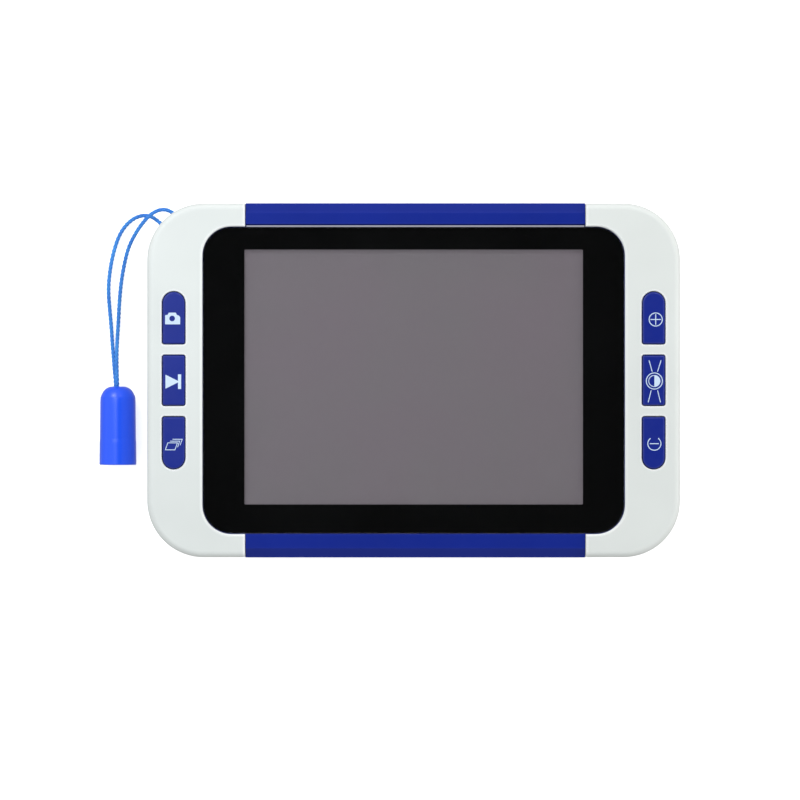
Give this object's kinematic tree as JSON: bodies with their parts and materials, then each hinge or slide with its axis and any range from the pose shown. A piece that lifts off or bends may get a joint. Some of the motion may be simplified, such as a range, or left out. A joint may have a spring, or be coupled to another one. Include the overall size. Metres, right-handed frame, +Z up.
{
  "type": "video magnifier",
  "caption": "Handheld electronic magnifier: a 4:3 screen in a blue and white housing with front keys, rear camera and lamps, folding stand and wrist lanyard.",
  "frame": {"origin": "on the table, under the middle of the housing", "axes": "+X to the right of the screen, +Y to its top edge, +Z up out of the glass"},
  "size_m": [0.1749, 0.1064, 0.0264],
  "materials": {
    "white_shell": "satin moulded",
    "blue_shell": "satin moulded",
    "key_plastic": "fine texture with printed signs",
    "clear_glass": "polished",
    "panel_film": "satin film",
    "seal_grey": "matt",
    "foam_black": "matt foam",
    "foot_rubber": "matt",
    "screw_steel": "zinc plated",
    "tray_steel": "pressed sheet",
    "board_laminate": "solder mask",
    "chip_resin": "moulded resin",
    "tin_can": "tinned",
    "flex_film": "polyimide film",
    "black_plastic": "moulded",
    "lens_glass": "coated lens in a black barrel",
    "lamp_resin": "clear over phosphor",
    "battery_wrap": "shrink sleeve",
    "contact_brass": "plated",
    "cord_textile": "braided",
    "bell_plastic": "polished"
  },
  "bodies": {
    "housing": {"front_frame": "blue_shell", "left_front_cover": "white_shell", "right_front_cover": "white_shell", "rear_housing": "blue_shell", "left_rear_cover": "white_shell", "right_rear_cover": "white_shell", "stand_pins": "screw_steel", "rubber_feet": "foot_rubber", "corner_screws": "screw_steel", "board_screws": "screw_steel", "key_board_screws": "screw_steel", "screen_glass": "clear_glass", "glass_seal": "seal_grey", "lcd_panel": "panel_film", "lcd_gasket": "foam_black", "lcd_bracket": "tray_steel", "lcd_flex": "flex_film", "main_board": "board_laminate", "board_chips": "chip_resin", "board_sockets": "black_plastic", "processor_shield": "tin_can", "buzzer": "black_plastic", "av_jack": "black_plastic", "usb_socket": "tin_can", "card_socket": "tin_can", "power_switch": "black_plastic", "camera_board": "board_laminate", "camera_holder": "black_plastic", "camera_lens": "lens_glass", "camera_window": "clear_glass", "lamp_board": "board_laminate", "lamps": "lamp_resin", "lamp_ribbon": "flex_film", "battery_pack": "battery_wrap", "battery_contacts": "contact_brass", "cord_bell": "bell_plastic", "cord_knot": "cord_textile", "upper_strand": "cord_textile", "lower_strand": "cord_textile", "left_key_board": "board_laminate", "left_key_switches": "tin_can", "left_key_ribbon": "flex_film", "right_key_board": "board_laminate", "right_key_switches": "tin_can", "right_key_ribbon": "flex_film"},
    "capture_key": {"capture_key": "key_plastic"},
    "freeze_key": {"freeze_key": "key_plastic"},
    "gallery_key": {"gallery_key": "key_plastic"},
    "zoom_in_key": {"zoom_in_key": "key_plastic"},
    "light_key": {"light_key": "key_plastic"},
    "zoom_out_key": {"zoom_out_key": "key_plastic"},
    "power_button": {"power_button": "key_plastic"},
    "rear_stand": {"rear_stand": "white_shell"},
    "battery_door": {"battery_door": "blue_shell"}
  },
  "joints": [
    {"name": "capture_key_press", "type": "slide", "parent": "housing", "child": "capture_key", "axis": [0, 0, -1], "range_m": [0, 0.0006], "stiffness_N_per_m": 800},
    {"name": "freeze_key_press", "type": "slide", "parent": "housing", "child": "freeze_key", "axis": [0, 0, -1], "range_m": [0, 0.0006], "stiffness_N_per_m": 800},
    {"name": "gallery_key_press", "type": "slide", "parent": "housing", "child": "gallery_key", "axis": [0, 0, -1], "range_m": [0, 0.0006], "stiffness_N_per_m": 800},
    {"name": "zoom_in_key_press", "type": "slide", "parent": "housing", "child": "zoom_in_key", "axis": [0, 0, -1], "range_m": [0, 0.0006], "stiffness_N_per_m": 800},
    {"name": "light_key_press", "type": "slide", "parent": "housing", "child": "light_key", "axis": [0, 0, -1], "range_m": [0, 0.0006], "stiffness_N_per_m": 800},
    {"name": "zoom_out_key_press", "type": "slide", "parent": "housing", "child": "zoom_out_key", "axis": [0, 0, -1], "range_m": [0, 0.0006], "stiffness_N_per_m": 800},
    {"name": "power_button_press", "type": "slide", "parent": "housing", "child": "power_button", "axis": [0, -1, 0], "range_m": [0, 0.0005], "stiffness_N_per_m": 800},
    {"name": "rear_stand_fold", "type": "hinge", "parent": "housing", "child": "rear_stand", "pos_m": [0, 0.036, 0.0024], "axis": [1, 0, 0], "range_deg": [0, 60]},
    {"name": "battery_door_slide", "type": "slide", "parent": "housing", "child": "battery_door", "axis": [0, -1, 0], "range_m": [0, 0.006]}
  ]
}
